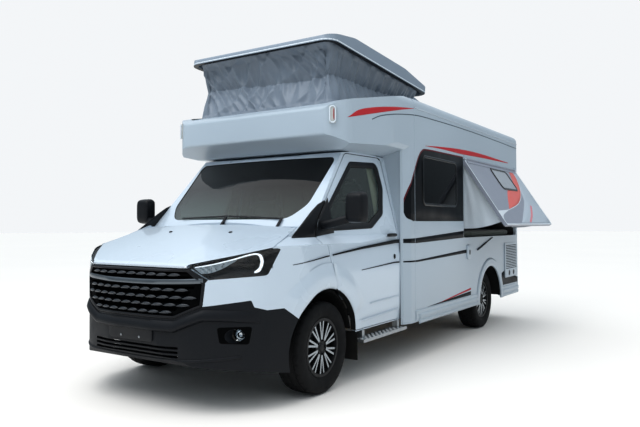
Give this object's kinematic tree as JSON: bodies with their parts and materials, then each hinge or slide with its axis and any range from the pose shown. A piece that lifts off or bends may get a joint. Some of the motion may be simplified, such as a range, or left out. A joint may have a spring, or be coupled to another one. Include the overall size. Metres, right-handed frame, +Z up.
{
  "type": "coach-built recreational vehicle",
  "caption": "Coach-built motorhome on a van chassis with an over-cab alcove, a raised canvas-sided pop-top and a top-hinged side hatch, doors, bonnet, steering and wheels that move.",
  "frame": {"origin": "on the ground under the centreline, midway between the bumpers", "axes": "+X to the left of the vehicle, +Y to its rear, +Z up"},
  "size_m": [2.8134, 6.0398, 2.97],
  "materials": {
    "frame_black": "satin",
    "cast_metal": "matte",
    "plastic_black": "matte",
    "steel": "satin",
    "body_white": "gloss",
    "bumper_charcoal": "textured",
    "gloss_black": "gloss",
    "clear_lens": "gloss",
    "glass": "clear",
    "seat_fabric": "woven",
    "moulding_white": "gloss",
    "floor_board": "satin",
    "dark_acrylic": "gloss",
    "red_lens": "gloss",
    "amber_lens": "gloss",
    "aluminium": "satin",
    "rubber": "matte",
    "canvas": "woven",
    "moulding_grey": "satin",
    "tyre_rubber": "matte",
    "alloy": "machined"
  },
  "bodies": {
    "body": {"frame_rails": "frame_black", "cross_members": "frame_black", "engine_block": "cast_metal", "front_suspension": "frame_black", "rear_axle": "frame_black", "leaf_springs": "frame_black", "fuel_tank": "plastic_black", "exhaust": "steel", "cab_shell": "body_white", "windscreen": "glass", "front_bumper": "bumper_charcoal", "grille": "gloss_black", "front_lamps": "clear_lens", "wipers": "plastic_black", "dashboard": "plastic_black", "steering_wheel": "plastic_black", "cab_seats": "seat_fabric", "wheel_liners": "plastic_black", "alcove": "moulding_white", "wall_left": "moulding_white", "wall_right": "moulding_white", "wall_rear": "moulding_white", "roof": "moulding_white", "floor_panel": "floor_board", "roof_coaming": "moulding_white", "windows": "dark_acrylic", "skirts": "moulding_white", "rear_bumper": "moulding_white", "tail_lamps": "red_lens", "marker_lamps": "amber_lens", "vent_grille": "moulding_white", "side_steps": "aluminium", "mudflaps": "rubber", "bed": "seat_fabric", "lid_brackets": "aluminium", "tent": "canvas", "hatch_cheeks": "canvas"},
    "bonnet": {"bonnet": "body_white"},
    "poptop": {"poptop_lid": "moulding_grey"},
    "hatch": {"hatch_panel": "moulding_grey", "hatch_window": "dark_acrylic"},
    "door_left": {"cab_door_left": "body_white", "door_glass_left": "glass", "mirror_left": "plastic_black"},
    "door_right": {"cab_door_right": "body_white", "door_glass_right": "glass", "mirror_right": "plastic_black"},
    "entry": {"entry_door": "moulding_white"},
    "steer_left": {"knuckle_left": "frame_black"},
    "steer_right": {"knuckle_right": "frame_black"},
    "wheel_front_left": {"tyre_front_left": "tyre_rubber", "rim_front_left": "alloy"},
    "wheel_front_right": {"tyre_front_right": "tyre_rubber", "rim_front_right": "alloy"},
    "wheel_rear_left": {"tyre_rear_left": "tyre_rubber", "rim_rear_left": "alloy"},
    "wheel_rear_right": {"tyre_rear_right": "tyre_rubber", "rim_rear_right": "alloy"}
  },
  "joints": [
    {"name": "bonnet_lift", "type": "hinge", "parent": "body", "child": "bonnet", "pos_m": [0, -2.12, 1.27916], "axis": [-1, 0, 0], "range_deg": [0, 50]},
    {"name": "poptop_lift", "type": "hinge", "parent": "body", "child": "poptop", "pos_m": [0, 1.43, 2.6], "axis": [-1, 0, 0], "range_deg": [-10.5, 0], "deforming": ["tent"]},
    {"name": "hatch_swing", "type": "hinge", "parent": "body", "child": "hatch", "pos_m": [1.0905, 1.895, 2.05], "axis": [0, -1, 0], "range_deg": [-33, 0], "deforming": ["hatch_cheeks"]},
    {"name": "door_left_swing", "type": "hinge", "parent": "body", "child": "door_left", "pos_m": [1.027, -1.97, 1], "axis": [0, 0, -1], "range_deg": [0, 65]},
    {"name": "door_right_swing", "type": "hinge", "parent": "body", "child": "door_right", "pos_m": [-1.027, -1.97, 1], "axis": [0, 0, 1], "range_deg": [0, 65]},
    {"name": "entry_swing", "type": "hinge", "parent": "body", "child": "entry", "pos_m": [-1.0905, -0.3735, 1.5], "axis": [0, 0, 1], "range_deg": [0, 95]},
    {"name": "steer_left", "type": "hinge", "parent": "body", "child": "steer_left", "pos_m": [0.78, -1.97, 0.356], "axis": [0, 0, 1], "range_deg": [-32, 32]},
    {"name": "steer_right", "type": "hinge", "parent": "body", "child": "steer_right", "pos_m": [-0.78, -1.97, 0.356], "axis": [0, 0, 1], "range_deg": [-32, 32]},
    {"name": "wheel_front_left_spin", "type": "hinge", "parent": "steer_left", "child": "wheel_front_left", "pos_m": [0.875, -1.97, 0.356], "axis": [1, 0, 0], "continuous": true},
    {"name": "wheel_front_right_spin", "type": "hinge", "parent": "steer_right", "child": "wheel_front_right", "pos_m": [-0.875, -1.97, 0.356], "axis": [1, 0, 0], "continuous": true},
    {"name": "wheel_rear_left_spin", "type": "hinge", "parent": "body", "child": "wheel_rear_left", "pos_m": [0.875, 1.78, 0.356], "axis": [1, 0, 0], "continuous": true},
    {"name": "wheel_rear_right_spin", "type": "hinge", "parent": "body", "child": "wheel_rear_right", "pos_m": [-0.875, 1.78, 0.356], "axis": [1, 0, 0], "continuous": true}
  ],
  "couplings": [
    {"joint": "steer_right", "follows": "steer_left", "ratio": 1}
  ]
}
